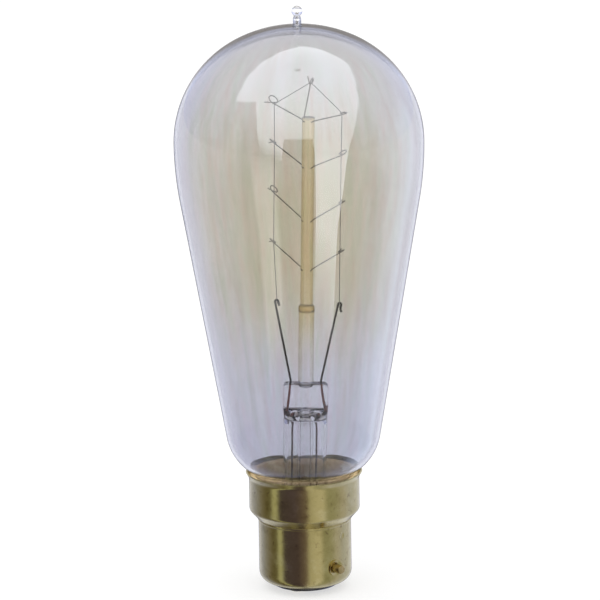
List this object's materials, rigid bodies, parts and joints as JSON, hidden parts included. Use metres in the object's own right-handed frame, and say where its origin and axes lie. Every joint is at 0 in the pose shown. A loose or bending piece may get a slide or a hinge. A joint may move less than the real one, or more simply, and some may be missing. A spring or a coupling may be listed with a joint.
{
  "type": "carbon filament bulb",
  "caption": "Pear-shaped clear glass lamp with a tipped crown, a zigzag carbon filament strung round a glass rod on wire eyes, and a brass bayonet cap.",
  "frame": {"origin": "on the lamp's axis, level with the two bayonet pins", "axes": "+Z from the cap to the crown, +X and -X along the two pins, +Y and -Y through the two contacts"},
  "size_m": [0.0586, 0.0586, 0.1407],
  "materials": {
    "clear_glass": "clear, gloss, with a faint smoky tint",
    "anchor_wire": "fine drawn wire",
    "carbon_filament": "matt carbon",
    "lead_wire": "dull drawn wire",
    "seal_wire": "reddish, seen through glass",
    "brass": "satin, a little tarnished",
    "black_insulator": "black, gloss",
    "cement": "matt, tan",
    "solder": "smooth grey"
  },
  "bodies": {
    "root": {"glass_envelope": "clear_glass", "dome_tip": "clear_glass", "stem_flare": "clear_glass", "stem_press": "clear_glass", "exhaust_tube": "clear_glass", "stem_column": "clear_glass", "arbor_rod": "clear_glass", "anchor_top": "anchor_wire", "anchor_left_1": "anchor_wire", "anchor_left_2": "anchor_wire", "anchor_left_3": "anchor_wire", "anchor_left_4": "anchor_wire", "anchor_right_1": "anchor_wire", "anchor_right_2": "anchor_wire", "anchor_right_3": "anchor_wire", "anchor_right_4": "anchor_wire", "filament": "carbon_filament", "inner_lead_left": "lead_wire", "inner_lead_right": "lead_wire", "outer_lead_left": "lead_wire", "outer_lead_right": "lead_wire", "seal_wire_left": "seal_wire", "seal_wire_right": "seal_wire", "cap_shell": "brass", "bayonet_pin_left": "brass", "bayonet_pin_right": "brass", "contact_plate_left": "brass", "contact_plate_right": "brass", "cap_insulator": "black_insulator", "cap_cement": "cement", "contact_solder_left": "solder", "contact_solder_right": "solder"}
  },
  "joints": []
}
